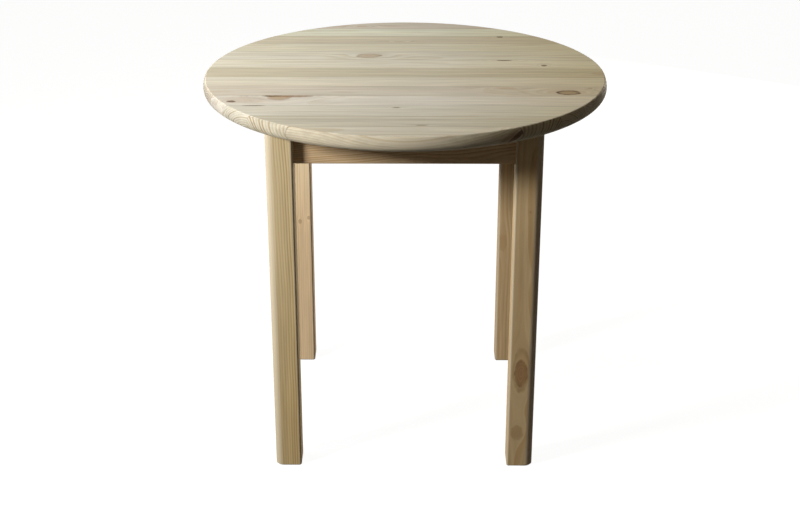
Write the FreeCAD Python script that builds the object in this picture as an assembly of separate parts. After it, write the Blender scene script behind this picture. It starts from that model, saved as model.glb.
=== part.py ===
import FreeCAD, Part
import math
import os

# Round pine dining table on four square legs. Millimetres, +Z up, floor at z = 0,
# centre of the round top over the origin. The staves of the top run along X.

# Top
table_height = 750.0
top_diameter = 800.0
top_thickness = 30.0
stave_count = 13
rim_drop = 14.0  # from the top face down to the widest line of the rim
rim_inset = 4.0  # from the widest line in to the edge of the top face, before it is eased
upper_edge_ease = 3.0
lower_edge_round = 14.5
rim_band = 0.5  # least upright band left at the widest line

# Legs and aprons
top_overhang = 140.0  # from the rim of the top to the outer faces of the legs, square to the frame
leg_side = 52.0
leg_outer_round = 15.0  # on the upright corner that points away from the middle of the table
leg_corner_round = 4.0  # on the other three upright corners
foot_chamfer = 2.5
apron_height = 75.0
apron_thickness = 20.0
apron_setback = 16.0  # from the outer face of a leg to the outer face of an apron
apron_edge_round = 2.0  # along both lower edges

# Dowels between aprons and legs
dowel_diameter = 8.0
dowel_length = 40.0
dowel_pitch = 40.0
dowel_chamfer = 1.0
dowel_fit = 0.1  # radial room for glue
dowel_end_room = 1.0  # room for glue past each end of a dowel
dowel_web = 4.0  # wood left in a leg between dowels that come in from two sides

# Corner blocks
block_thickness = 30.0
block_gap = 6.0  # from the block to the inner corner of the leg
block_margin = 8.0  # from the block to the upper and lower edges of the aprons

# Hanger bolts, washers and nuts
bolt_diameter = 8.0
bolt_leg_depth = 42.0
bolt_point = 7.0
bolt_tail = 6.0  # thread that stands out of the nut
bolt_hole_room = 0.5  # radial room in the block
washer_diameter = 24.0
washer_thickness = 2.0
washer_room = 0.2  # radial room round the bolt
nut_flats = 13.0
nut_height = 6.5

# Pan-head wood screws
screw_diameter = 4.0
screw_point = 5.0
screw_head_diameter = 8.0
screw_head_height = 2.8
screw_head_round = 1.6
recess_width = 1.2
recess_span = 4.4
recess_depth = 1.4
screw_hole_room = 0.25  # radial room where a screw passes through without biting
block_screw_length = 28.0
block_screw_seat = 14.0  # wood between the screw head and the apron
block_screw_pitch = 32.0
block_pocket_room = 1.0  # radial room round a sunk screw head
apron_screw_length = 16.0
top_screw_length = 20.0

# Angle brackets between aprons and top
bracket_width = 25.0
bracket_leg = 30.0
bracket_thickness = 2.0
bracket_bend = 2.0  # inside radius of the bend
bracket_corner_round = 4.0
bracket_hole_reach = 19.0  # from the outside of the bend to a hole
bracket_slot_travel = 8.0  # how far the top can move across its grain

# Worked-out places
root_two = math.sqrt(2.0)
top_radius = top_diameter / 2.0
under_top = table_height - top_thickness
half_frame = top_radius - top_overhang
leg_inner = half_frame - leg_side
apron_inner = half_frame - apron_setback - apron_thickness
apron_centre = apron_inner + apron_thickness / 2.0
apron_bottom = under_top - apron_height
apron_middle = under_top - apron_height / 2.0
dowel_leg_depth = apron_centre - dowel_diameter / 2.0 - dowel_web - leg_inner
dowel_heights = [apron_middle - dowel_pitch / 2.0, apron_middle + dowel_pitch / 2.0]
leg_corner_reach = (leg_inner + leg_corner_round) * root_two - leg_corner_round
block_front = leg_corner_reach - block_gap
block_back = block_front - block_thickness
block_reach = block_back * root_two - apron_inner  # where the inner face of a block meets an apron
block_screw_place = (block_front + block_back) / root_two - apron_inner
block_screw_heights = [apron_middle - block_screw_pitch / 2.0, apron_middle + block_screw_pitch / 2.0]
bracket_places = [-block_reach / 2.0, block_reach / 2.0]  # half-way from the middle of an apron to a block

along_x = FreeCAD.Vector(1, 0, 0)
along_y = FreeCAD.Vector(0, 1, 0)
upward = FreeCAD.Vector(0, 0, 1)
outward = FreeCAD.Vector(1, 1, 0)  # from the middle of the table to the corner at +X, +Y

# The frame is the same after each quarter turn about the middle of the table.
# A side is made at +Y and a corner at +X, +Y, and these names follow the turns.
side_names = ["back", "left", "front", "right"]
corner_names = ["back_right", "back_left", "front_left", "front_right"]


def turned(shape, quarter):
    """A copy of a side's or a corner's piece, turned to its own place."""
    copy = shape.copy()
    copy.rotate(FreeCAD.Vector(), upward, 90.0 * quarter)
    return copy


def aimed(shape, start, direction):
    """A piece made along +Z, moved to start and pointed along direction."""
    copy = shape.copy()
    copy.Placement = FreeCAD.Placement(start, FreeCAD.Rotation(upward, direction))
    return copy


def straight(a, b):
    return Part.LineSegment(a, b).toShape()


def arc(a, middle, b):
    return Part.Arc(a, middle, b).toShape()


def filled(edges):
    return Part.Face(Part.Wire(edges))


def revolved(edges):
    return filled(edges).revolve(FreeCAD.Vector(), upward, 360.0)


def pointed_rod(diameter, length, point):
    """A rod from the origin along +Z that tapers to a point."""
    radius = diameter / 2.0
    foot = FreeCAD.Vector(0, 0, 0)
    rim = FreeCAD.Vector(radius, 0, 0)
    shoulder = FreeCAD.Vector(radius, 0, length - point)
    tip = FreeCAD.Vector(0, 0, length)
    return revolved([
        straight(foot, rim),
        straight(rim, shoulder),
        straight(shoulder, tip),
        straight(tip, foot),
    ])


# Round top


def round_top():
    """The whole board, turned from its section, before it is parted into staves."""

    def at(middle, radius, angle):
        return middle + FreeCAD.Vector(math.cos(angle), 0, math.sin(angle)) * radius

    quarter = math.pi / 2.0
    lower = min(lower_edge_round, top_thickness - rim_drop - rim_band)
    side = (rim_drop ** 2 + rim_inset ** 2) / (2.0 * rim_inset)  # radius of the bend above the widest line
    ease = upper_edge_ease
    bend = math.asin((rim_drop - ease) / (side - ease))  # how far the side turns before the eased edge
    lower_middle = FreeCAD.Vector(top_radius - lower, 0, under_top + lower)
    side_middle = FreeCAD.Vector(top_radius - side, 0, table_height - rim_drop)
    ease_middle = at(side_middle, side - ease, bend)
    under_middle = FreeCAD.Vector(0, 0, under_top)
    under_end = at(lower_middle, lower, -quarter)
    band_start = at(lower_middle, lower, 0.0)
    band_end = at(side_middle, side, 0.0)
    ease_start = at(side_middle, side, bend)
    upper_end = at(ease_middle, ease, quarter)
    upper_middle = FreeCAD.Vector(0, 0, table_height)
    return revolved([
        straight(under_middle, under_end),
        arc(under_end, at(lower_middle, lower, -quarter / 2.0), band_start),
        straight(band_start, band_end),
        arc(band_end, at(side_middle, side, bend / 2.0), ease_start),
        arc(ease_start, at(ease_middle, ease, (bend + quarter) / 2.0), upper_end),
        straight(upper_end, upper_middle),
        straight(upper_middle, under_middle),
    ])


def staves(screw_shanks):
    """The board parted into equal strips, from front to back, with its screw holes."""
    board = round_top()
    width = top_diameter / stave_count
    strips = []
    for index in range(stave_count):
        corner = FreeCAD.Vector(-top_radius, -top_radius + index * width, under_top)
        slab = Part.makeBox(top_diameter, width, top_thickness, corner)
        strips.append(board.common(slab).cut(screw_shanks))
    return strips


# Legs and aprons


def dowel_hole(start, direction, depth):
    radius = dowel_diameter / 2.0 + dowel_fit
    return Part.makeCylinder(radius, depth + dowel_end_room, start, direction)


def leg(bolt):
    """The leg at +X, +Y, with the holes for four dowels and the bolt."""
    corner = FreeCAD.Vector(leg_inner, leg_inner, 0)
    post = Part.makeBox(leg_side, leg_side, under_top, corner)
    uprights = [edge for edge in post.Edges if edge.BoundBox.ZLength > leg_side]
    uprights.sort(key=lambda edge: edge.BoundBox.XMin + edge.BoundBox.YMin)
    post = post.makeFillet(leg_corner_round, uprights[:-1])
    outermost = max(post.Edges, key=lambda edge: edge.BoundBox.XMin + edge.BoundBox.YMin)
    post = post.makeFillet(leg_outer_round, [outermost])
    foot_edges = [edge for edge in post.Edges if edge.BoundBox.ZMax < foot_chamfer]
    post = post.makeChamfer(foot_chamfer, foot_edges)
    for height in dowel_heights:
        from_back_apron = FreeCAD.Vector(leg_inner, apron_centre, height)
        from_right_apron = FreeCAD.Vector(apron_centre, leg_inner, height)
        post = post.cut(dowel_hole(from_back_apron, along_x, dowel_leg_depth))
        post = post.cut(dowel_hole(from_right_apron, along_y, dowel_leg_depth))
    return post.cut(bolt)


def apron(screw_shanks):
    """The apron at +Y, with its dowel holes and screw holes."""
    corner = FreeCAD.Vector(-leg_inner, apron_inner, apron_bottom)
    board = Part.makeBox(2.0 * leg_inner, apron_thickness, apron_height, corner)
    lower_edges = [
        edge for edge in board.Edges
        if edge.BoundBox.ZMax < apron_middle and edge.BoundBox.XLength > apron_thickness
    ]
    board = board.makeFillet(apron_edge_round, lower_edges)
    for height in dowel_heights:
        for end in (-1.0, 1.0):
            start = FreeCAD.Vector(end * leg_inner, apron_centre, height)
            board = board.cut(dowel_hole(start, along_x * -end, dowel_length - dowel_leg_depth))
    return board.cut(screw_shanks)


def side_dowels():
    """The dowels at the two ends of the apron at +Y."""
    rod = Part.makeCylinder(dowel_diameter / 2.0, dowel_length)
    rims = [edge for edge in rod.Edges if edge.BoundBox.ZLength < dowel_chamfer]
    rod = rod.makeChamfer(dowel_chamfer, rims)
    dowels = []
    for height in dowel_heights:
        for end in (-1.0, 1.0):
            start = FreeCAD.Vector(end * (leg_inner + dowel_leg_depth), apron_centre, height)
            dowels.append(aimed(rod, start, along_x * -end))
    return dowels


# Screws


def screw_shank(length):
    return pointed_rod(screw_diameter, length, screw_point)


def screw(length):
    """A screw along +Z, seated at the origin, with its pan head below and a cross recess in it."""
    radius = screw_head_diameter / 2.0
    head = Part.makeCylinder(radius, screw_head_height, FreeCAD.Vector(0, 0, -screw_head_height))
    crown = [edge for edge in head.Edges if edge.BoundBox.ZMax < -screw_head_height / 2.0]
    head = head.makeFillet(screw_head_round, crown)
    for span_x, span_y in ((recess_span, recess_width), (recess_width, recess_span)):
        corner = FreeCAD.Vector(-span_x / 2.0, -span_y / 2.0, -screw_head_height)
        head = head.cut(Part.makeBox(span_x, span_y, recess_depth, corner))
    return head.fuse(screw_shank(length)).removeSplitter()


def placed(piece, places):
    return [aimed(piece, start, direction) for start, direction in places]


def block_screw_places():
    """Seats of the four screws of the corner block at +X, +Y, into the back apron and the right apron."""
    seat = apron_inner - block_screw_seat
    places = []
    for height in block_screw_heights:
        places.append((FreeCAD.Vector(block_screw_place, seat, height), along_y))
        places.append((FreeCAD.Vector(seat, block_screw_place, height), along_x))
    return places


def apron_screw_places():
    """Seats of the screws that hold the two brackets of the apron at +Y to that apron."""
    seat = apron_inner - bracket_thickness
    height = under_top - bracket_hole_reach
    return [(FreeCAD.Vector(place, seat, height), along_y) for place in bracket_places]


def top_screw_places():
    """Seats of the screws that hold the top to the two brackets of the apron at +Y."""
    reach = apron_inner - bracket_hole_reach
    height = under_top - bracket_thickness
    return [(FreeCAD.Vector(place, reach, height), upward) for place in bracket_places]


# Corner blocks and hanger bolts


def on_diagonal(reach):
    """The point at the middle height of the aprons that lies this far out towards the corner."""
    return FreeCAD.Vector(reach / root_two, reach / root_two, apron_middle)


def corner_block():
    """The block across the corner at +X, +Y, between the inner faces of two aprons."""
    base = apron_bottom + block_margin
    front_reach = block_front * root_two - apron_inner
    plan = [
        (block_reach, apron_inner),
        (front_reach, apron_inner),
        (apron_inner, front_reach),
        (apron_inner, block_reach),
    ]
    points = [FreeCAD.Vector(x, y, base) for x, y in plan]
    outline = Part.makePolygon(points + points[:1])
    block = Part.Face(outline).extrude(upward * (apron_height - 2.0 * block_margin))
    bolt_hole = bolt_diameter / 2.0 + bolt_hole_room
    block = block.cut(Part.makeCylinder(bolt_hole, block_thickness, on_diagonal(block_back), outward))
    screw_hole = screw_diameter / 2.0 + screw_hole_room
    pocket = screw_head_diameter / 2.0 + block_pocket_room
    for seat, direction in block_screw_places():
        block = block.cut(Part.makeCylinder(screw_hole, block_screw_seat, seat, direction))
        block = block.cut(Part.makeCylinder(pocket, block_thickness, seat, -direction))
    return block


def hanger_bolt():
    tail = block_back - washer_thickness - nut_height - bolt_tail
    length = leg_corner_reach + bolt_leg_depth - tail
    return aimed(pointed_rod(bolt_diameter, length, bolt_point), on_diagonal(tail), outward)


def washer():
    """The washer under the nut, on the inner face of the block."""
    start = on_diagonal(block_back - washer_thickness)
    disc = Part.makeCylinder(washer_diameter / 2.0, washer_thickness, start, outward)
    return disc.cut(Part.makeCylinder(bolt_diameter / 2.0 + washer_room, washer_thickness, start, outward))


def nut():
    """The hexagon nut on the washer."""
    across_corners = nut_flats / math.cos(math.radians(30.0))
    points = []
    for side in range(6):
        angle = math.radians(60.0 * side)
        points.append(FreeCAD.Vector(math.cos(angle), math.sin(angle), 0) * (across_corners / 2.0))
    body = Part.Face(Part.makePolygon(points + points[:1])).extrude(upward * nut_height)
    body = body.cut(Part.makeCylinder(bolt_diameter / 2.0, nut_height))
    return aimed(body, on_diagonal(block_back - washer_thickness - nut_height), outward)


# Angle brackets


def slot(centre, direction):
    """The tool for the long hole in the upper leg of a bracket, with its travel along direction."""
    radius = screw_diameter / 2.0 + screw_hole_room
    start = centre - direction * (bracket_slot_travel / 2.0)
    end = centre + direction * (bracket_slot_travel / 2.0)
    across = direction.cross(upward) * radius
    corners = [start - across, end - across, end + across, start + across]
    tool = Part.Face(Part.makePolygon(corners + corners[:1])).extrude(upward * bracket_thickness)
    for round_end in (start, end):
        tool = tool.fuse(Part.makeCylinder(radius, bracket_thickness, round_end))
    return tool


def bracket(place, slot_direction):
    """One angle bracket of the apron at +Y, bent from a strip, with a round hole and a long hole."""
    outer = bracket_bend + bracket_thickness
    diagonal = 1.0 / root_two

    def at(inwards, down):
        return FreeCAD.Vector(place - bracket_width / 2.0, apron_inner - inwards, under_top - down)

    strip = filled([
        straight(at(0, bracket_leg), at(0, outer)),
        arc(at(0, outer), at(outer - outer * diagonal, outer - outer * diagonal), at(outer, 0)),
        straight(at(outer, 0), at(bracket_leg, 0)),
        straight(at(bracket_leg, 0), at(bracket_leg, bracket_thickness)),
        straight(at(bracket_leg, bracket_thickness), at(outer, bracket_thickness)),
        arc(
            at(outer, bracket_thickness),
            at(outer - bracket_bend * diagonal, outer - bracket_bend * diagonal),
            at(bracket_thickness, outer),
        ),
        straight(at(bracket_thickness, outer), at(bracket_thickness, bracket_leg)),
        straight(at(bracket_thickness, bracket_leg), at(0, bracket_leg)),
    ]).extrude(along_x * bracket_width)
    free_corners = []
    for edge in strip.Edges:
        box = edge.BoundBox
        at_lower_end = box.ZMax < under_top - bracket_leg + bracket_thickness / 2.0
        at_inner_end = box.YMax < apron_inner - bracket_leg + bracket_thickness / 2.0
        if (at_lower_end or at_inner_end) and box.XLength < bracket_thickness:
            free_corners.append(edge)
    strip = strip.makeFillet(bracket_corner_round, free_corners)
    hole = screw_diameter / 2.0 + screw_hole_room
    apron_hole = FreeCAD.Vector(place, apron_inner - bracket_thickness, under_top - bracket_hole_reach)
    top_hole = FreeCAD.Vector(place, apron_inner - bracket_hole_reach, under_top - bracket_thickness)
    strip = strip.cut(Part.makeCylinder(hole, bracket_thickness, apron_hole, along_y))
    return strip.cut(slot(top_hole, slot_direction))


# All pieces, by name

nodes = {}
groups = {
    "apron_dowels": [],
    "hanger_bolts": [],
    "hanger_bolt_washers": [],
    "hanger_bolt_nuts": [],
    "corner_block_screws": [],
    "bracket_apron_screws": [],
    "bracket_top_screws": [],
}

one_bolt = hanger_bolt()
one_leg = leg(one_bolt)
one_block = corner_block()
one_washer = washer()
one_nut = nut()
block_screws = placed(screw(block_screw_length), block_screw_places())
for quarter, corner_name in enumerate(corner_names):
    nodes["leg_" + corner_name] = turned(one_leg, quarter)
    nodes["corner_block_" + corner_name] = turned(one_block, quarter)
    groups["hanger_bolts"].append(turned(one_bolt, quarter))
    groups["hanger_bolt_washers"].append(turned(one_washer, quarter))
    groups["hanger_bolt_nuts"].append(turned(one_nut, quarter))
    groups["corner_block_screws"] += [turned(piece, quarter) for piece in block_screws]

# A block screw into the right apron of its corner is, one turn back, one into the apron at +Y.
block_shanks = placed(screw_shank(block_screw_length), block_screw_places())
shanks_of_next_corner = [turned(shank, 1) for shank in block_shanks]
apron_shanks = placed(screw_shank(apron_screw_length), apron_screw_places())
one_apron = apron(Part.makeCompound(block_shanks + shanks_of_next_corner + apron_shanks))
dowels = side_dowels()
apron_screws = placed(screw(apron_screw_length), apron_screw_places())
top_screws = placed(screw(top_screw_length), top_screw_places())
top_shanks = placed(screw_shank(top_screw_length), top_screw_places())
all_top_shanks = []
for quarter, side_name in enumerate(side_names):
    nodes["apron_" + side_name] = turned(one_apron, quarter)
    across_grain = along_y if quarter % 2 == 0 else along_x
    for place in bracket_places:
        piece = turned(bracket(place, across_grain), quarter)
        middle = piece.BoundBox.Center
        if quarter % 2 == 0:
            end_name = "left" if middle.x < 0 else "right"
        else:
            end_name = "front" if middle.y < 0 else "back"
        nodes["top_bracket_" + side_name + "_" + end_name] = piece
    groups["apron_dowels"] += [turned(piece, quarter) for piece in dowels]
    groups["bracket_apron_screws"] += [turned(piece, quarter) for piece in apron_screws]
    groups["bracket_top_screws"] += [turned(piece, quarter) for piece in top_screws]
    all_top_shanks += [turned(piece, quarter) for piece in top_shanks]

for index, stave in enumerate(staves(Part.makeCompound(all_top_shanks))):
    nodes["top_stave_%02d" % (index + 1)] = stave
for name, pieces in groups.items():
    nodes[name] = Part.makeCompound(pieces)

os.makedirs("parts", exist_ok=True)
for name, shape in nodes.items():
    shape.exportStep("parts/" + name + ".step")
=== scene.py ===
import math

import bmesh
import bpy
from mathutils import Euler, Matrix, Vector


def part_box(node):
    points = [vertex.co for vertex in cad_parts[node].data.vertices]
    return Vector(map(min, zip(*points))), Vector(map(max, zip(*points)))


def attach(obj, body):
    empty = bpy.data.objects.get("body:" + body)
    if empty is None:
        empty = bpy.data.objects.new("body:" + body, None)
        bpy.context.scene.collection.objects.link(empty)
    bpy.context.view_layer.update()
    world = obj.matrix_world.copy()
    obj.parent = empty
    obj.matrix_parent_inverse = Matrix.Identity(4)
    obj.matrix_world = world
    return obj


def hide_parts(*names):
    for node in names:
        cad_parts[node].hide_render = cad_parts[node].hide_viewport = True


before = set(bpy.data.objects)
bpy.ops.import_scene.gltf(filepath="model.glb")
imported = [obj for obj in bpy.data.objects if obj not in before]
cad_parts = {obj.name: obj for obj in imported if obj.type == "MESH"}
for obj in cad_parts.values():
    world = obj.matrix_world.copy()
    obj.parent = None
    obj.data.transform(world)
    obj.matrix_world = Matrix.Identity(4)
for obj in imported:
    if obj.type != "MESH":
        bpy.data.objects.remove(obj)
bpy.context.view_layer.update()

# Round pine dining table. Metres in the frame, +Z up, the staves of the top along X, the viewer towards -Y.
# Sizes of wood figure and of small fittings are written in millimetres.

mm = 0.001
quarter_turn = math.pi / 2.0
eighth_turn = math.pi / 4.0
scene = bpy.context.scene
scene.view_settings.view_transform = "Standard"


def linear(code):
    """The linear colour of an sRGB hex value."""
    parts = [int(code[i:i + 2], 16) / 255.0 for i in (1, 3, 5)]
    return tuple(p / 12.92 if p <= 0.04045 else ((p + 0.055) / 1.055) ** 2.4 for p in parts) + (1.0,)


def add(tree, kind, sockets=None, **settings):
    """Adds a node with its settings, and fills its sockets.

    A socket takes a value, another node's output, or another node, which stands for its first output.
    """
    node = tree.nodes.new(kind)
    for key, value in settings.items():
        setattr(node, key, value)
    for key, value in (sockets or {}).items():
        if isinstance(value, bpy.types.Node):
            value = value.outputs[0]
        if isinstance(value, bpy.types.NodeSocket):
            tree.links.new(value, node.inputs[key])
        else:
            node.inputs[key].default_value = value
    return node


def group(name, kind, inputs, outputs):
    """An empty node group with named sockets, and the values that it is given."""
    tree = bpy.data.node_groups.new(name, kind)
    for in_out, sockets in (("INPUT", inputs), ("OUTPUT", outputs)):
        for socket, socket_kind in sockets:
            tree.interface.new_socket(socket, in_out=in_out, socket_type="NodeSocket" + socket_kind)
    return tree, add(tree, "NodeGroupInput").outputs


def blank_material(name):
    """A new material, and its node tree with nothing in it yet."""
    material = bpy.data.materials.new(name)
    material.use_nodes = True
    material.node_tree.nodes.clear()
    return material, material.node_tree


def dress(node, material):
    """Puts a finish on a CAD node."""
    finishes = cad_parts[node].data.materials
    finishes.clear()
    finishes.append(material)


def seen_rays(tree):
    """One for what is seen straight, mirrored or through glass, and zero for light that bounces."""
    rays = add(tree, "ShaderNodeLightPath").outputs
    seen = add(tree, "ShaderNodeMath", {0: rays["Is Camera Ray"], 1: rays["Is Glossy Ray"]},
               operation="MAXIMUM")
    return add(tree, "ShaderNodeMath", {0: seen, 1: rays["Is Transmission Ray"]}, operation="MAXIMUM")


# Camera, fitted to the outline of the top, the legs and the apron

image_width = 800.0
focal_pixels = 1516.9
sensor_width = 36.0
camera_place = (0.01191, -2.92284, 1.60976)
camera_tilt = 0.4128
camera_turn = 0.0075

lens = bpy.data.cameras.new("camera")
lens.sensor_width = sensor_width
lens.lens = focal_pixels * sensor_width / image_width
camera = bpy.data.objects.new("camera", lens)
camera.location = camera_place
camera.rotation_euler = (quarter_turn - camera_tilt, 0.0, camera_turn)
scene.collection.objects.link(camera)
scene.camera = camera

# Studio light


def lamp(name, place, target, width, height, power, colour):
    """A soft lamp: a rectangle that shines towards its target."""
    light = bpy.data.lights.new(name, "AREA")
    light.color = linear(colour)[:3]
    light.shape = "RECTANGLE"
    light.size = width
    light.size_y = height
    light.energy = power
    holder = bpy.data.objects.new(name, light)
    holder.location = place
    holder.rotation_euler = (Vector(target) - Vector(place)).to_track_quat("-Z", "Y").to_euler()
    scene.collection.objects.link(holder)


# A low soft window from the left and front, a weak cool lamp above and one from the left, and a low lamp
# behind on the right for the sides that the camera doesn't see
lamp("window_light", place=(-1.93, -1.25, 1.5), target=(0.0, 0.0, 0.65), width=0.5, height=0.38, power=59.0,
     colour="#fffcf6")
lamp("upper_light", place=(-0.75, 0.1, 2.0), target=(0.0, 0.0, 0.75), width=0.9, height=0.9, power=10.4,
     colour="#eaf2ff")
lamp("side_light", place=(-2.3, 0.4, 0.72), target=(0.0, 0.0, 0.5), width=0.6, height=0.6, power=6.0,
     colour="#c8deff")
lamp("back_light", place=(1.4, 2.4, 0.42), target=(0.0, 0.0, 0.42), width=0.6, height=0.5, power=25.0,
     colour="#fff4e4")

# A dim warm surround, which is white to the eye
surround = bpy.data.worlds.new("surround")
surround.use_nodes = True
scene.world = surround
tree = surround.node_tree
tree.nodes.clear()
dim = add(tree, "ShaderNodeBackground", {"Color": linear("#ffe6c4"), "Strength": 0.083})
white = add(tree, "ShaderNodeBackground", {"Color": linear("#ffffff"), "Strength": 1.0})
mixed = add(tree, "ShaderNodeMixShader", {0: seen_rays(tree), 1: dim, 2: white})
add(tree, "ShaderNodeOutputWorld", {"Surface": mixed})

# Floor

floor_half = 20.0
floor_corners = [(x * floor_half, y * floor_half, 0.0) for x, y in ((-1, -1), (1, -1), (1, 1), (-1, 1))]
floor_mesh = bpy.data.meshes.new("floor")
floor_mesh.from_pydata(floor_corners, [], [(0, 1, 2, 3)])
floor = bpy.data.objects.new("floor", floor_mesh)
scene.collection.objects.link(floor)

# White to the eye with a light shadow, dark to bounced light, so that the shaded faces stay dark, and clear
# from below, so that the underside of the table can be looked at
painted, tree = blank_material("white_studio_floor")
bounce = add(tree, "ShaderNodeBsdfDiffuse", {"Color": linear("#505050")})
shadow = add(tree, "ShaderNodeBsdfDiffuse", {"Color": linear("#767676")})
glow = add(tree, "ShaderNodeEmission", {"Color": linear("#ffffff"), "Strength": 0.955})
seen = add(tree, "ShaderNodeAddShader", {0: shadow, 1: glow})
above = add(tree, "ShaderNodeMixShader", {0: seen_rays(tree), 1: bounce, 2: seen})
below = add(tree, "ShaderNodeBsdfTransparent")
side = add(tree, "ShaderNodeNewGeometry")
mixed = add(tree, "ShaderNodeMixShader", {0: side.outputs["Backfacing"], 1: above, 2: below})
add(tree, "ShaderNodeOutputMaterial", {"Surface": mixed})
floor_mesh.materials.append(painted)

# Pine

# Growth rings go round a pith that lies outside the board, so that the faces show lines and arches, the rim
# and the ends show arcs, and both meet at the edges. All lengths are in millimetres, with the grain along X.

# Tints of the wood, as shares of a board's own tone
no_tint = (1.0, 1.0, 1.0, 1.0)
early_tint = (1.05, 1.07, 1.10, 1.0)
late_tint = (0.80, 0.70, 0.56, 1.0)
late_end_tint = (0.48, 0.35, 0.24, 1.0)
end_grain_tint = (0.60, 0.62, 0.66, 1.0)


def drawn_out(length, width):
    """The scale of a pattern that is as long as this along the grain, and as wide as this across it."""
    return (1.0 / length, 1.0 / width, 1.0 / width)


def pine_figure():
    """The wood of one board: its colour, roughness and fine relief at a place."""
    tree, given = group(
        "pine_figure", "ShaderNodeTree",
        [("Vector", "Vector"), ("End Grain", "Float"), ("Pith", "Vector"), ("Ring Width", "Float"),
         ("Wander", "Float"), ("Figure", "Float"), ("Seed", "Float"), ("Tone", "Color")],
        [("Color", "Color"), ("Roughness", "Float"), ("Height", "Float")])
    place = given["Vector"]
    end_grain = given["End Grain"]
    seed = given["Seed"]

    # Growth rings, bent slowly along a trunk that tapers
    bend_length = 300.0
    bend_width = 110.0
    trunk_taper = 0.008
    drawn = add(tree, "ShaderNodeVectorMath", {0: place, 1: drawn_out(bend_length, bend_width)},
                operation="MULTIPLY")
    bend = add(tree, "ShaderNodeTexNoise", {"Vector": drawn, "W": seed, "Scale": 1.0, "Detail": 2.0},
               noise_dimensions="4D")
    bend = add(tree, "ShaderNodeMath", {0: bend, 1: 0.5}, operation="SUBTRACT")
    bend = add(tree, "ShaderNodeMath", {0: bend, 1: given["Wander"]}, operation="MULTIPLY")
    reach = add(tree, "ShaderNodeVectorMath", {0: place, 1: given["Pith"]}, operation="SUBTRACT")
    reach = add(tree, "ShaderNodeVectorMath", {0: reach, 1: (trunk_taper, 1.0, 1.0)}, operation="MULTIPLY")
    lean = add(tree, "ShaderNodeSeparateXYZ", {0: reach})
    radius = add(tree, "ShaderNodeVectorMath", {0: reach, 1: (0.0, 1.0, 1.0)}, operation="MULTIPLY")
    radius = add(tree, "ShaderNodeVectorMath", {0: radius}, operation="LENGTH")
    radius = add(tree, "ShaderNodeMath", {0: radius.outputs["Value"], 1: lean.outputs["X"]}, operation="ADD")
    radius = add(tree, "ShaderNodeMath", {0: radius, 1: bend}, operation="ADD")
    rings = add(tree, "ShaderNodeMath", {0: radius, 1: given["Ring Width"]}, operation="DIVIDE")

    # Late wood, which grows dark through the season and ends sharply, more in some years than in others
    season = add(tree, "ShaderNodeMath", {0: rings}, operation="FRACT")
    rise = add(tree, "ShaderNodeMapRange", {0: season, 1: 0.2, 2: 0.85}, interpolation_type="SMOOTHSTEP")
    fall = add(tree, "ShaderNodeMapRange", {0: season, 1: 0.9, 2: 1.0, 3: 1.0, 4: 0.0},
               interpolation_type="SMOOTHSTEP")
    year = add(tree, "ShaderNodeMath", {0: rings}, operation="FLOOR")
    year = add(tree, "ShaderNodeMath", {0: year, 1: seed}, operation="ADD")
    year = add(tree, "ShaderNodeTexWhiteNoise", {"W": year}, noise_dimensions="1D")
    year = add(tree, "ShaderNodeMapRange", {0: year.outputs["Value"], 3: 0.35, 4: 1.15})
    late = add(tree, "ShaderNodeMath", {0: rise, 1: fall}, operation="MULTIPLY")
    late = add(tree, "ShaderNodeMath", {0: late, 1: year}, operation="MULTIPLY")

    # Broad streaks of tone, flecks drawn out along the grain, and fibres, which are drawn coarser than real
    # ones so that they show: length, width and depth
    shade = 1.0
    for length, width, depth in ((320.0, 15.0, 0.2), (110.0, 6.0, 0.22), (160.0, 1.5, 0.1)):
        drawn = add(tree, "ShaderNodeVectorMath", {0: place, 1: drawn_out(length, width)},
                    operation="MULTIPLY")
        fibre = add(tree, "ShaderNodeTexNoise", {"Vector": drawn, "W": seed, "Scale": 1.0, "Detail": 3.0},
                    noise_dimensions="4D")
        uneven = add(tree, "ShaderNodeMapRange", {0: fibre, 3: 1.0 - depth, 4: 1.0 + depth})
        shade = add(tree, "ShaderNodeMath", {0: shade, 1: uneven}, operation="MULTIPLY")

    # Pale early wood, browner late wood, and darker end grain with stronger rings
    strength = add(tree, "ShaderNodeMapRange", {0: end_grain, 3: 1.0, 4: 2.4})
    strength = add(tree, "ShaderNodeMath", {0: strength, 1: given["Figure"]}, operation="MULTIPLY")
    late_share = add(tree, "ShaderNodeMath", {0: late, 1: strength}, operation="MULTIPLY")
    brown = add(tree, "ShaderNodeMix", {0: end_grain, 6: late_tint, 7: late_end_tint}, data_type="RGBA")
    tint = add(tree, "ShaderNodeMix", {0: late_share, 6: early_tint, 7: brown.outputs[2]}, data_type="RGBA")
    end_tint = add(tree, "ShaderNodeMix", {0: end_grain, 6: no_tint, 7: end_grain_tint}, data_type="RGBA")
    colour = add(tree, "ShaderNodeVectorMath", {0: given["Tone"], 1: tint.outputs[2]}, operation="MULTIPLY")
    colour = add(tree, "ShaderNodeVectorMath", {0: colour, 1: end_tint.outputs[2]}, operation="MULTIPLY")
    colour = add(tree, "ShaderNodeVectorMath", {0: colour, "Scale": shade}, operation="SCALE")
    roughness = add(tree, "ShaderNodeMapRange", {0: late, 3: 0.72, 4: 0.6})
    height = add(tree, "ShaderNodeMath", {0: fibre, 1: late}, operation="ADD")
    add(tree, "NodeGroupOutput", {"Color": colour, "Roughness": roughness, "Height": height})
    return tree


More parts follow.
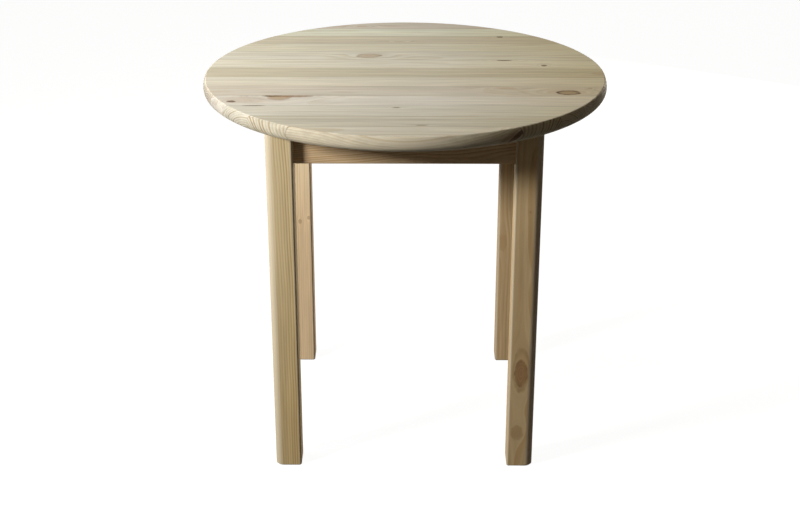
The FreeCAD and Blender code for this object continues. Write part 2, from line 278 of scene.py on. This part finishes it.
def pine_knot():
    """A knot: the root of a branch, an ellipsoid of darker wood with soft rings and a broken edge of bark.

    Place is a place in the board, and Vector the same place with the grain parted round the knots. Paint is
    the colour of the knots, laid over the wood, and Clear the share of the wood that still shows.
    """
    tree, given = group(
        "pine_knot", "ShaderNodeTree",
        [("Place", "Vector"), ("Vector", "Vector"), ("Paint", "Vector"), ("Clear", "Float"),
         ("Centre", "Vector"), ("Turn", "Vector"), ("Size", "Vector"), ("Core", "Color"),
         ("Core Strength", "Float"), ("Bark", "Color"), ("Bark Strength", "Float")],
        [("Vector", "Vector"), ("Paint", "Vector"), ("Clear", "Float")])
    local = add(tree, "ShaderNodeVectorMath", {0: given["Place"], 1: given["Centre"]}, operation="SUBTRACT")
    turned = add(tree, "ShaderNodeVectorRotate", {"Vector": local, "Rotation": given["Turn"]},
                 rotation_type="EULER_XYZ", invert=True)
    scaled = add(tree, "ShaderNodeVectorMath", {0: turned, 1: given["Size"]}, operation="DIVIDE")
    length = add(tree, "ShaderNodeVectorMath", {0: scaled}, operation="LENGTH")
    drawn = add(tree, "ShaderNodeVectorMath", {0: scaled, 1: given["Centre"]}, operation="ADD")
    ragged = add(tree, "ShaderNodeTexNoise", {"Vector": drawn, "Scale": 1.6, "Detail": 3.0})
    uneven = add(tree, "ShaderNodeMapRange", {0: ragged, 3: -0.22, 4: 0.22})
    reach = add(tree, "ShaderNodeMath", {0: length.outputs["Value"], 1: uneven}, operation="ADD")

    # Core, fading at its edge and faintly ringed
    ring_width = 0.13
    core = add(tree, "ShaderNodeMapRange", {0: reach, 1: 1.12, 2: 0.58}, interpolation_type="SMOOTHSTEP")
    ring = add(tree, "ShaderNodeMath", {0: reach, 1: ring_width}, operation="PINGPONG")
    ring = add(tree, "ShaderNodeMapRange", {0: ring, 2: ring_width, 3: 0.72, 4: 1.0})
    core = add(tree, "ShaderNodeMath", {0: core, 1: ring}, operation="MULTIPLY")
    core = add(tree, "ShaderNodeMath", {0: core, 1: given["Core Strength"]}, operation="MULTIPLY")

    # Bark, a thin line at the edge that comes and goes
    bark_in = add(tree, "ShaderNodeMapRange", {0: reach, 1: 0.6, 2: 0.86}, interpolation_type="SMOOTHSTEP")
    bark_out = add(tree, "ShaderNodeMapRange", {0: reach, 1: 1.12, 2: 0.92}, interpolation_type="SMOOTHSTEP")
    broken = add(tree, "ShaderNodeMapRange", {0: ragged, 1: 0.35, 2: 0.6, 3: 1.0, 4: 0.5})
    bark = add(tree, "ShaderNodeMath", {0: bark_in, 1: bark_out}, operation="MULTIPLY")
    bark = add(tree, "ShaderNodeMath", {0: bark, 1: broken}, operation="MULTIPLY")
    bark = add(tree, "ShaderNodeMath", {0: bark, 1: given["Bark Strength"]}, operation="MULTIPLY")

    # The two layers, one over the other
    paint = given["Paint"]
    clear = given["Clear"]
    for layer, colour in ((core, given["Core"]), (bark, given["Bark"])):
        left = add(tree, "ShaderNodeMath", {0: 1.0, 1: layer}, operation="SUBTRACT")
        old = add(tree, "ShaderNodeVectorMath", {0: paint, "Scale": left}, operation="SCALE")
        new = add(tree, "ShaderNodeVectorMath", {0: colour, "Scale": layer}, operation="SCALE")
        paint = add(tree, "ShaderNodeVectorMath", {0: old, 1: new}, operation="ADD")
        clear = add(tree, "ShaderNodeMath", {0: clear, 1: left}, operation="MULTIPLY")

    # Grain drawn towards the middle line of the knot by a bell curve, so that it seems to part round it
    part_reach = (0.42, 0.55, 0.55)
    part_pull = (0.0, -0.85, -0.85)
    bell_base = 0.37
    spread = add(tree, "ShaderNodeVectorMath", {0: scaled, 1: part_reach}, operation="MULTIPLY")
    spread = add(tree, "ShaderNodeVectorMath", {0: spread, 1: spread}, operation="DOT_PRODUCT")
    spread = add(tree, "ShaderNodeMath", {0: bell_base, 1: spread.outputs["Value"]}, operation="POWER")
    pull = add(tree, "ShaderNodeVectorMath", {0: local, 1: part_pull}, operation="MULTIPLY")
    pull = add(tree, "ShaderNodeVectorMath", {0: pull, "Scale": spread}, operation="SCALE")
    parted = add(tree, "ShaderNodeVectorMath", {0: given["Vector"], 1: pull}, operation="ADD")
    add(tree, "NodeGroupOutput", {"Vector": parted, "Paint": paint, "Clear": clear})
    return tree


figure_group = pine_figure()
knot_group = pine_knot()


def lay_knots(tree, board, facing, knots):
    """A board's grain parted round its knots, their paint, and the share of the wood that is left clear."""
    vector = board.outputs[0]
    paint = (0.0, 0.0, 0.0)
    clear = 1.0
    for centre, size, turn, (core, core_strength, bark, bark_strength) in knots:
        laid = add(tree, "ShaderNodeGroup", {
            "Place": board, "Vector": vector, "Paint": paint, "Clear": clear,
            "Centre": facing @ Vector(centre), "Turn": turn, "Size": size,
            "Core": linear(core), "Core Strength": core_strength,
            "Bark": linear(bark), "Bark Strength": bark_strength}, node_tree=knot_group)
        vector = laid.outputs["Vector"]
        paint = laid.outputs["Paint"]
        clear = laid.outputs["Clear"]
    return vector, paint, clear


def paint_shading_along(tree, colour, board, start, full, tint):
    """Painted light and shade: a tint that grows along the board from a start to where it is full, standing
    in for how the light falls along it.
    """
    along = add(tree, "ShaderNodeSeparateXYZ", {0: board})
    share = add(tree, "ShaderNodeMapRange", {0: along.outputs["X"], 1: start, 2: full})
    tint = add(tree, "ShaderNodeMix", {0: share, 6: no_tint, 7: tint + (1.0,)}, data_type="RGBA")
    return add(tree, "ShaderNodeVectorMath", {0: colour, 1: tint.outputs[2]}, operation="MULTIPLY")


def draw_glue_lines(tree, colour, board, end, near_seam, far_seam):
    """Thin dark lines along both sides of a stave, which hardly show on the rim."""
    line_start = 0.9
    line_full = 0.3
    middle = (near_seam + far_seam) / 2.0
    half_width = (far_seam - near_seam) / 2.0
    across = add(tree, "ShaderNodeSeparateXYZ", {0: board})
    off = add(tree, "ShaderNodeMath", {0: across.outputs["Y"], 1: middle}, operation="SUBTRACT")
    off = add(tree, "ShaderNodeMath", {0: off}, operation="ABSOLUTE")
    dark = add(tree, "ShaderNodeMapRange", {0: end, 2: 0.6, 3: 0.58, 4: 0.92})
    line = add(tree, "ShaderNodeMapRange", {0: off, 1: half_width - line_start, 2: half_width - line_full,
                                            3: 1.0, 4: dark})
    return add(tree, "ShaderNodeVectorMath", {0: colour, "Scale": line}, operation="SCALE")


def sand_and_sheen_corners(tree, colour, normal, tone):
    """Rounded upright corners, paler and greyer: partly where sanding has cut through the grain, and partly a
    painted sheen.
    """
    slant = add(tree, "ShaderNodeSeparateXYZ", {0: normal})
    slant = add(tree, "ShaderNodeMath", {0: slant.outputs["X"], 1: slant.outputs["Y"]}, operation="MULTIPLY")
    slant = add(tree, "ShaderNodeMath", {0: slant}, operation="ABSOLUTE")
    share = add(tree, "ShaderNodeMapRange", {0: slant, 2: 0.3, 4: 0.75}, interpolation_type="SMOOTHSTEP")
    return add(tree, "ShaderNodeMix", {0: share, 6: colour, 7: linear(tone)}, data_type="RGBA").outputs[2]


def pine(name, node, turn, seed, tone, pith, ring_width, wander, figure, knots=(), seams=None, sanded_sheen=None,
         painted_shading=None):
    """Planed pine, smoothed with sandpaper and without a finish: matt, with pale early wood and browner late
    wood in lines.

    turn brings the length of the board to X. pith is across the board, from its middle. seed makes the figure
    the board's own, wander bends its rings, and figure is the strength of their late wood. seams are the two
    sides of a stave, sanded is the tone of a leg's upright corners, paler from sanding and from a painted
    sheen, and aged is painted light and shade, a change of tone along the board: where it starts, where it is
    full, and its tint.
    """
    lowest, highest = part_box(node)
    middle = (Vector(lowest) + Vector(highest)) / 2.0 / mm
    facing = Euler(turn).to_matrix()
    grain = facing.transposed() @ Vector((1.0, 0.0, 0.0))
    material, tree = blank_material(name)
    coordinates = add(tree, "ShaderNodeTexCoord").outputs
    board = add(tree, "ShaderNodeMapping", {"Vector": coordinates["Object"], "Rotation": turn,
                                            "Scale": (1.0 / mm, 1.0 / mm, 1.0 / mm)})
    vector, paint, clear = lay_knots(tree, board, facing, knots)
    end = add(tree, "ShaderNodeVectorMath", {0: coordinates["Normal"], 1: grain}, operation="DOT_PRODUCT")
    end = add(tree, "ShaderNodeMath", {0: end.outputs["Value"], 1: end.outputs["Value"]},
              operation="MULTIPLY")
    wood = add(tree, "ShaderNodeGroup", {
        "Vector": vector, "End Grain": end, "Pith": facing @ middle + Vector((0.0, pith[0], pith[1])),
        "Ring Width": ring_width, "Wander": wander, "Figure": figure, "Seed": seed, "Tone": linear(tone)},
        node_tree=figure_group).outputs
    colour = wood["Color"]
    if knots:
        colour = add(tree, "ShaderNodeVectorMath", {0: colour, "Scale": clear}, operation="SCALE")
        colour = add(tree, "ShaderNodeVectorMath", {0: colour, 1: paint}, operation="ADD")
    # Painted light and shade, as a tint along the board
    if painted_shading:
        colour = paint_shading_along(tree, colour, board, *painted_shading)
    if seams:
        colour = draw_glue_lines(tree, colour, board, end, *seams)
    # Paler corners: sanding, and a painted sheen
    if sanded_sheen:
        colour = sand_and_sheen_corners(tree, colour, coordinates["Normal"], sanded_sheen)
    bump = add(tree, "ShaderNodeBump", {"Strength": 0.25, "Distance": 0.15 * mm, "Height": wood["Height"]})
    shader = add(tree, "ShaderNodeBsdfPrincipled", {
        "Base Color": colour, "Roughness": wood["Roughness"], "Normal": bump, "Specular IOR Level": 0.1})
    add(tree, "ShaderNodeOutputMaterial", {"Surface": shader})
    dress(node, material)


# Looks of knots and stains: core colour and strength, bark colour and strength

wedge_knot = ("#b08e60", 0.8, "#8a6a42", 0.4)
wedge_end = ("#94704e", 0.85, "#7d5c3c", 0.4)
tan_knot = ("#b28f6b", 0.5, "#7d5a38", 0.5)
dark_knot = ("#64431f", 0.95, "#4a2f16", 0.6)
ringed_knot = ("#9c8055", 0.75, "#4b3418", 1.0)
leg_knot = ("#966d47", 0.8, "#6f4c2b", 0.55)
bar_knot = ("#4a2b13", 1.0, "#3a2310", 0.5)
brown_halo = ("#8a6238", 0.4, "#8a6238", 0.1)
stain = ("#b58a58", 0.35, "#a67c4c", 0.15)
warm_stain = ("#b3936b", 0.28, "#b3936b", 0.0)
patch = ("#a67c50", 0.5, "#94703f", 0.25)
knot_ring = ("#b8925f", 0.3, "#8d6a41", 0.45)
pitch_streak = ("#5b4424", 0.95, "#5b4424", 0.3)
small_streak = ("#7a6646", 0.8, "#7a6646", 0.2)

top_middle = 735.0  # height of the middle of the top
through = 60.0  # half length of a knot that passes through the top


def knot(look, centre, size, turn=(0.0, 0.0, 0.0)):
    """A knot with its middle in the frame and its half sizes, along the grain first."""
    return centre, size, turn, look


def top_knot(look, x, y, half_length, half_width):
    """A knot that goes straight through the top."""
    return knot(look, (x, y, top_middle), (half_length, half_width, through))


# How a board lies: the turn that brings its grain to X

along_x = (0.0, 0.0, 0.0)
along_y = (0.0, 0.0, -quarter_turn)
along_z = (0.0, quarter_turn, 0.0)
sloping = (0.0, 0.12, 0.0)  # along X, with the grain running down to the right

# Staves of the top, from the front one to the back one

stave_looks = [
    dict(tone="#d2c8b1", pith=(14.0, -60.0), ring_width=4.6, wander=16.0, figure=0.5, knots=[
        knot(brown_halo, (186.0, -352.0, 731.0), (26.0, 12.0, 10.0), (0.0, -0.5, 0.49)),
        knot(bar_knot, (203.0, -345.0, 735.0), (22.0, 11.0, 5.0), (0.0, -0.55, 0.49))]),
    dict(tone="#cdc5af", pith=(48.0, -14.0), ring_width=4.6, wander=12.0, figure=0.75, knots=[
        top_knot(small_streak, 31.0, -330.5, 12.0, 2.8)]),
    dict(tone="#d6ceb9", pith=(-30.0, -34.0), ring_width=4.2, wander=14.0, figure=0.45, knots=[
        top_knot(pitch_streak, -281.0, -217.2, 23.0, 2.6),
        top_knot(small_streak, -15.0, -227.0, 8.0, 3.2)]),
    dict(tone="#ded4c1", pith=(10.0, 70.0), ring_width=4.8, wander=18.0, figure=0.28, knots=[
        top_knot(warm_stain, -300.0, -182.0, 60.0, 26.0),
        top_knot(wedge_knot, -238.0, -154.0, 27.0, 31.0),
        top_knot(wedge_end, -207.0, -156.0, 34.0, 9.0),
        top_knot(pitch_streak, -252.0, -155.0, 20.0, 8.0),
        top_knot(dark_knot, -326.0, -192.0, 9.0, 6.5)]),
    dict(tone="#d4c8b2", pith=(-12.0, -48.0), ring_width=4.4, wander=16.0, figure=0.32, knots=[
        top_knot(warm_stain, 308.0, -128.0, 40.0, 22.0),
        top_knot(ringed_knot, 313.5, -132.0, 24.0, 14.0),
        top_knot(stain, 193.0, -103.0, 24.0, 8.0),
        top_knot(tan_knot, 357.0, -103.0, 4.5, 3.5)]),
    dict(tone="#dfd4bb", pith=(20.0, 52.0), ring_width=5.0, wander=18.0, figure=0.32),
    dict(tone="#d3c8ac", pith=(-40.0, -22.0), ring_width=3.8, wander=12.0, figure=0.6, knots=[
        top_knot(stain, 384.0, -3.0, 14.0, 9.0)]),
    dict(tone="#e6dcc2", pith=(8.0, -55.0), ring_width=4.6, wander=20.0, figure=0.45, knots=[
        top_knot(pitch_streak, 202.0, 90.2, 17.0, 4.6),
        top_knot(dark_knot, 281.0, 53.0, 6.0, 6.0)]),
    dict(tone="#e0d7bf", pith=(-16.0, 60.0), ring_width=4.8, wander=18.0, figure=0.45, knots=[
        top_knot(tan_knot, -76.0, 123.0, 27.0, 15.0)]),
    dict(tone="#e1d7bb", pith=(26.0, -44.0), ring_width=5.2, wander=16.0, figure=0.45),
    dict(tone="#d8ccb0", pith=(-34.0, 30.0), ring_width=4.0, wander=12.0, figure=0.6, knots=[
        top_knot(dark_knot, 203.0, 273.0, 7.5, 6.0),
        top_knot(stain, -13.0, 233.0, 16.0, 5.0)]),
    dict(tone="#eae5c9", pith=(12.0, -50.0), ring_width=5.0, wander=16.0, figure=0.4),
    dict(tone="#ddd0ba", pith=(-8.0, 48.0), ring_width=4.6, wander=14.0, figure=0.5, knots=[
        top_knot(stain, -97.0, 360.0, 12.0, 5.0)]),
]
stave_seed_step = 3.7
# Painted shade on the staves: warmer and darker towards +X, away from the lamps
stave_painted_shading = (60.0, 360.0, (0.97, 0.92, 0.77))  # most towards +X
beyond = 1000.0  # past the rim, where the outer staves have no neighbour
for number, look in enumerate(stave_looks, 1):
    node = "top_stave_%02d" % number
    lowest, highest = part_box(node)
    near_seam = lowest[1] / mm if number > 1 else -beyond
    far_seam = highest[1] / mm if number < len(stave_looks) else beyond
    pine("sanded_pine_stave_%02d" % number, node, along_x, stave_seed_step * number,
         seams=(near_seam, far_seam), painted_shading=stave_painted_shading, **look)

# Legs

# Painted light on the two left legs: paler and cooler towards their tops
leg_looks = {
    "leg_front_left": dict(
        tone="#d4bc8c", pith=(6.0, 60.0), ring_width=4.4, wander=16.0, figure=1.05,
        painted_shading=(100.0, 680.0, (1.18, 1.27, 1.5))),
    "leg_front_right": dict(
        tone="#d0b58a", pith=(58.0, -20.0), ring_width=5.4, wander=16.0, figure=0.6, knots=[
            knot(knot_ring, (231.0, -262.0, 220.0), (48.0, 60.0, 17.0)),
            knot(leg_knot, (231.0, -262.0, 212.0), (30.0, 40.0, 13.0)),
            knot(patch, (227.0, -262.0, 78.0), (17.0, 30.0, 13.0)),
            knot(patch, (238.0, -260.0, 555.0), (3.0, 6.0, 2.0))]),
    "leg_back_left": dict(
        tone="#f1d4ac", pith=(-20.0, -50.0), ring_width=5.0, wander=12.0, figure=0.55,
        painted_shading=(320.0, 520.0, (1.14, 1.22, 1.28)), knots=[
            knot(patch, (-234.0, 208.0, 346.0), (6.0, 20.0, 4.0)),
            knot(patch, (-214.0, 208.0, 355.0), (5.0, 20.0, 4.0))]),
    "leg_back_right": dict(
        tone="#d6b98e", pith=(30.0, 44.0), ring_width=4.6, wander=14.0, figure=0.6, knots=[
            knot(stain, (218.0, 208.0, 296.0), (22.0, 20.0, 9.0))]),
}
# Tone of the legs' rounded corners, paler from sanding and from a painted sheen
sanded_sheen_tone = "#cfc4ae"
first_leg_seed = 61.3
leg_seed_step = 2.9
for index, (node, look) in enumerate(leg_looks.items()):
    pine("sanded_pine_" + node, node, along_z, first_leg_seed + leg_seed_step * index, sanded_sheen=sanded_sheen_tone,
         **look)

# Aprons

apron_looks = {
    "apron_front": dict(
        turn=sloping, tone="#dcc09a", pith=(-30.0, -50.0), ring_width=4.6, wander=40.0, figure=1.1),
    "apron_back": dict(
        turn=along_x, tone="#d9bd92", pith=(30.0, -40.0), ring_width=4.8, wander=30.0, figure=0.7),
    "apron_left": dict(
        turn=along_y, tone="#d5b788", pith=(-24.0, 50.0), ring_width=5.0, wander=30.0, figure=0.7),
    "apron_right": dict(
        turn=along_y, tone="#dabf94", pith=(22.0, -46.0), ring_width=4.6, wander=30.0, figure=0.7),
}
first_apron_seed = 83.1
apron_seed_step = 4.3
for index, (node, look) in enumerate(apron_looks.items()):
    pine("sanded_pine_" + node, node, seed=first_apron_seed + apron_seed_step * index, **look)

# Corner blocks, each across one corner of the frame

block_turns = {
    "corner_block_back_right": eighth_turn,
    "corner_block_back_left": -eighth_turn,
    "corner_block_front_left": eighth_turn,
    "corner_block_front_right": -eighth_turn,
}
block_look = dict(tone="#dcc199", pith=(20.0, 44.0), ring_width=4.6, wander=12.0, figure=0.7)
first_block_seed = 101.9
block_seed_step = 3.1
for index, (node, turn) in enumerate(block_turns.items()):
    pine("sawn_pine_" + node, node, (0.0, 0.0, turn), first_block_seed + block_seed_step * index,
         **block_look)

# Beech, turned: pinkish tan with short dark flecks along the grain, hidden inside the joints

flecks_per_metre = (350.0, 350.0, 900.0)  # about 3 mm long and 1 mm high
beech, tree = blank_material("turned_beech")
coordinates = add(tree, "ShaderNodeTexCoord").outputs
drawn = add(tree, "ShaderNodeMapping", {"Vector": coordinates["Object"], "Scale": flecks_per_metre})
fleck = add(tree, "ShaderNodeTexVoronoi", {"Vector": drawn, "Scale": 1.0})
fleck = add(tree, "ShaderNodeMapRange", {0: fleck.outputs["Distance"], 1: 0.1, 2: 0.3, 3: 1.0, 4: 0.0})
colour = add(tree, "ShaderNodeMix", {0: fleck, 6: linear("#d8b68c"), 7: linear("#b58a5f")}, data_type="RGBA")
roughness = add(tree, "ShaderNodeMapRange", {0: fleck, 3: 0.5, 4: 0.6})
shader = add(tree, "ShaderNodeBsdfPrincipled", {"Base Color": colour.outputs[2], "Roughness": roughness})
add(tree, "ShaderNodeOutputMaterial", {"Surface": shader})
dress("apron_dowels", beech)

# Zinc-plated steel: a cool grey metal, bright but blurred, with faint cloudy patches a few millimetres across


def zinc_plated(name, tone, patch_size):
    """Plated steel of one tone, with the size of its patches in millimetres."""
    material, tree = blank_material(name)
    scale = 1.0 / mm / patch_size
    coordinates = add(tree, "ShaderNodeTexCoord").outputs
    drawn = add(tree, "ShaderNodeMapping", {"Vector": coordinates["Object"], "Scale": (scale, scale, scale)})
    cloud = add(tree, "ShaderNodeTexNoise", {"Vector": drawn, "Scale": 1.0, "Detail": 4.0})
    shade = add(tree, "ShaderNodeMapRange", {0: cloud, 1: 0.3, 2: 0.7, 3: 0.82, 4: 1.0})
    colour = add(tree, "ShaderNodeVectorMath", {0: linear(tone)[:3], "Scale": shade}, operation="SCALE")
    roughness = add(tree, "ShaderNodeMapRange", {0: cloud, 1: 0.3, 2: 0.7, 3: 0.28, 4: 0.46})
    bump = add(tree, "ShaderNodeBump", {"Strength": 0.15, "Distance": 0.05 * mm, "Height": cloud})
    shader = add(tree, "ShaderNodeBsdfPrincipled", {
        "Base Color": colour, "Metallic": 1.0, "Roughness": roughness, "Normal": bump})
    add(tree, "ShaderNodeOutputMaterial", {"Surface": shader})
    return material


plated_bracket = zinc_plated("zinc_plated_steel_bracket", "#c3c6c8", 5.0)
plated_fastener = zinc_plated("zinc_plated_steel_fastener", "#cfcdc6", 2.0)
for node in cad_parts:
    if node.startswith("top_bracket_"):
        dress(node, plated_bracket)
    elif node.startswith("hanger_bolt") or node.endswith("_screws"):
        dress(node, plated_fastener)

# Hanger bolts and nuts, at the places that the solids have. A bolt lies on the diagonal of the frame.

bolt_height = 682.5
bolt_tail = 245.31  # from the middle of the table to the inner end of a bolt
bolt_length = 92.5
bolt_diameter = 8.0
fine_pitch = 1.25
coarse_pitch = 3.2
thread_depth = 0.7
shank_start = 40.0
shank_end = 56.0
point_length = 7.0
nut_start = 251.31  # from the middle of the table to the inner face of a nut
nut_flats = 13.0
nut_length = 6.5
corners_of_frame = 4


def made_plain(name, tree, settings):
    """The mesh that a geometry tree gives, as an object of its own with no modifier."""
    mesh = bpy.data.meshes.new(name + "_seed")
    holder = bpy.data.objects.new(name + "_seed", mesh)
    scene.collection.objects.link(holder)
    modifier = holder.modifiers.new("shape", "NODES")
    modifier.node_group = tree
    for item in tree.interface.items_tree:
        if item.item_type == "SOCKET" and item.in_out == "INPUT":
            modifier[item.identifier] = settings[item.name]
    evaluated = holder.evaluated_get(bpy.context.evaluated_depsgraph_get())
    result = bpy.data.meshes.new_from_object(evaluated)
    bpy.data.objects.remove(holder)
    result.name = name
    shell = bmesh.new()
    shell.from_mesh(result)
    bmesh.ops.recalc_face_normals(shell, faces=shell.faces)
    shell.to_mesh(result)
    shell.free()
    piece = bpy.data.objects.new(name, result)
    scene.collection.objects.link(piece)
    return piece


def threaded_bolts():
    """Four hanger bolts: fine thread for the nut, a plain shank, and coarse thread and a point in the leg."""
    tree, given = group(
        "threaded_hanger_bolts", "GeometryNodeTree",
        [("Diameter", "Float"), ("Length", "Float"), ("Fine Pitch", "Float"), ("Coarse Pitch", "Float"),
         ("Thread Depth", "Float"), ("Shank Start", "Float"), ("Shank End", "Float"), ("Point", "Float"),
         ("Tail", "Float"), ("Height", "Float"), ("Count", "Int"), ("Finish", "Material")],
        [("Geometry", "Geometry")])
    around = 20
    rows = 460
    merge_distance = 0.002

    # A flat sheet, whose width becomes a turn round the bolt and whose length the way along it
    sheet = add(tree, "GeometryNodeMeshGrid", {"Size X": 1.0, "Size Y": 1.0, "Vertices X": around + 1,
                                               "Vertices Y": rows})
    spot = add(tree, "GeometryNodeInputPosition")
    spot = add(tree, "ShaderNodeVectorMath", {0: spot, 1: (0.5, 0.5, 0.0)}, operation="ADD")
    spot = add(tree, "ShaderNodeSeparateXYZ", {0: spot})
    turn = spot.outputs["X"]
    along = add(tree, "ShaderNodeMapRange", {0: spot.outputs["Y"], 1: 1.0 / (rows - 1), 2: 1.0,
                                             4: given["Length"]})

    # Two threads, each on its own stretch
    depths = []
    for pitch in ("Fine Pitch", "Coarse Pitch"):
        wind = add(tree, "ShaderNodeMath", {0: along, 1: given[pitch]}, operation="DIVIDE")
        wind = add(tree, "ShaderNodeMath", {0: wind, 1: turn}, operation="SUBTRACT")
        wave = add(tree, "ShaderNodeMath", {0: wind, 1: 0.5}, operation="PINGPONG")
        depths.append(add(tree, "ShaderNodeMath", {0: wave, 1: 2.0}, operation="MULTIPLY"))
    before = add(tree, "ShaderNodeMath", {0: along, 1: given["Shank Start"]}, operation="LESS_THAN")
    after = add(tree, "ShaderNodeMath", {0: along, 1: given["Shank End"]}, operation="GREATER_THAN")
    fine = add(tree, "ShaderNodeMath", {0: depths[0], 1: before}, operation="MULTIPLY")
    coarse = add(tree, "ShaderNodeMath", {0: depths[1], 1: after}, operation="MULTIPLY")
    cut = add(tree, "ShaderNodeMath", {0: fine, 1: coarse}, operation="ADD")
    cut = add(tree, "ShaderNodeMath", {0: cut, 1: given["Thread Depth"]}, operation="MULTIPLY")

    # The radius, which runs out to a point in the leg and is closed by the first row at the other end
    radius = add(tree, "ShaderNodeMath", {0: given["Diameter"], 1: 0.5}, operation="MULTIPLY")
    radius = add(tree, "ShaderNodeMath", {0: radius, 1: cut}, operation="SUBTRACT")
    taper = add(tree, "ShaderNodeMath", {0: given["Length"], 1: along}, operation="SUBTRACT")
    taper = add(tree, "ShaderNodeMath", {0: taper, 1: given["Point"]}, operation="DIVIDE")
    taper = add(tree, "ShaderNodeMath", {0: taper, 1: 1.0}, operation="MINIMUM")
    capped = add(tree, "ShaderNodeMath", {0: spot.outputs["Y"], 1: 0.5 / rows}, operation="GREATER_THAN")
    radius = add(tree, "ShaderNodeMath", {0: radius, 1: taper}, operation="MULTIPLY")
    radius = add(tree, "ShaderNodeMath", {0: radius, 1: capped}, operation="MULTIPLY")

    # The sheet wound up, laid on the diagonal and repeated at every corner
    angle = add(tree, "ShaderNodeMath", {0: turn, 1: 2.0 * math.pi}, operation="MULTIPLY")
    swing = []
    for function in ("COSINE", "SINE"):
        part = add(tree, "ShaderNodeMath", {0: angle}, operation=function)
        swing.append(add(tree, "ShaderNodeMath", {0: part, 1: radius}, operation="MULTIPLY"))
    wound = add(tree, "ShaderNodeCombineXYZ", {"X": swing[0], "Y": swing[1], "Z": along})
    bolt = add(tree, "GeometryNodeSetPosition", {"Geometry": sheet, "Position": wound})
    bolt = add(tree, "GeometryNodeMergeByDistance", {"Geometry": bolt, "Distance": merge_distance * mm})
    start = add(tree, "ShaderNodeMath", {0: given["Tail"], 1: math.sqrt(0.5)}, operation="MULTIPLY")
    start = add(tree, "ShaderNodeCombineXYZ", {"X": start, "Y": start, "Z": given["Height"]})
    bolt = add(tree, "GeometryNodeTransform", {"Geometry": bolt, "Translation": start,
                                               "Rotation": (0.0, quarter_turn, eighth_turn)})
    points = add(tree, "GeometryNodeMeshLine", {"Count": given["Count"], "Offset": (0.0, 0.0, 0.0)})
    order = add(tree, "GeometryNodeInputIndex")
    corner = add(tree, "ShaderNodeMath", {0: order, 1: quarter_turn}, operation="MULTIPLY")
    corner = add(tree, "ShaderNodeCombineXYZ", {"Z": corner})
    four = add(tree, "GeometryNodeInstanceOnPoints", {"Points": points, "Instance": bolt, "Rotation": corner})
    four = add(tree, "GeometryNodeRealizeInstances", {"Geometry": four})
    four = add(tree, "GeometryNodeSetMaterial", {"Geometry": four, "Material": given["Finish"]})
    add(tree, "NodeGroupOutput", {"Geometry": four})
    return tree


bolts = made_plain("threaded_hanger_bolts", threaded_bolts(), {
    "Diameter": bolt_diameter * mm, "Length": bolt_length * mm, "Tail": bolt_tail * mm,
    "Height": bolt_height * mm, "Fine Pitch": fine_pitch * mm, "Coarse Pitch": coarse_pitch * mm,
    "Thread Depth": thread_depth * mm, "Shank Start": shank_start * mm, "Shank End": shank_end * mm,
    "Point": point_length * mm, "Count": corners_of_frame, "Finish": plated_fastener})
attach(bolts, "root")
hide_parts("hanger_bolts")


def chamfered_nuts():
    """Four hexagon nuts whose corners are turned down to a cone on both faces."""
    steps = 72
    thread_hold = 0.1  # how far the nut bites into the thread
    bore = bolt_diameter / 2.0 - thread_hold
    washer_face = 0.95 * nut_flats / 2.0
    slope = math.tan(math.radians(30.0))
    sixth_turn = math.pi / 3.0
    nut_turn = sixth_turn / 4.0
    shell = bmesh.new()
    for corner in range(corners_of_frame):
        facing = Euler((0.0, quarter_turn, eighth_turn + corner * quarter_turn)).to_matrix()
        start = facing @ Vector((0.0, 0.0, nut_start)) + Vector((0.0, 0.0, bolt_height))
        rings = []
        for step in range(steps):
            angle = 2.0 * math.pi * step / steps
            flat_angle = (angle + nut_turn) % sixth_turn - sixth_turn / 2.0
            hexagon = nut_flats / 2.0 / math.cos(flat_angle)
            drop = max(0.0, (hexagon - washer_face) * slope)
            profile = [(bore, 0.0), (washer_face, 0.0), (hexagon, drop), (hexagon, nut_length - drop),
                       (washer_face, nut_length), (bore, nut_length)]
            points = [Vector((r * math.cos(angle), r * math.sin(angle), z)) for r, z in profile]
            rings.append([shell.verts.new((facing @ point + start) * mm) for point in points])
        for step in range(steps):
            near = rings[step]
            far = rings[(step + 1) % steps]
            for k in range(len(near)):
                after = (k + 1) % len(near)
                shell.faces.new((near[k], far[k], far[after], near[after]))
    bmesh.ops.recalc_face_normals(shell, faces=shell.faces)
    mesh = bpy.data.meshes.new("chamfered_hanger_bolt_nuts")
    shell.to_mesh(mesh)
    shell.free()
    mesh.materials.append(plated_fastener)
    piece = bpy.data.objects.new("chamfered_hanger_bolt_nuts", mesh)
    scene.collection.objects.link(piece)
    return piece


nuts = chamfered_nuts()
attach(nuts, "root")
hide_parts("hanger_bolt_nuts")
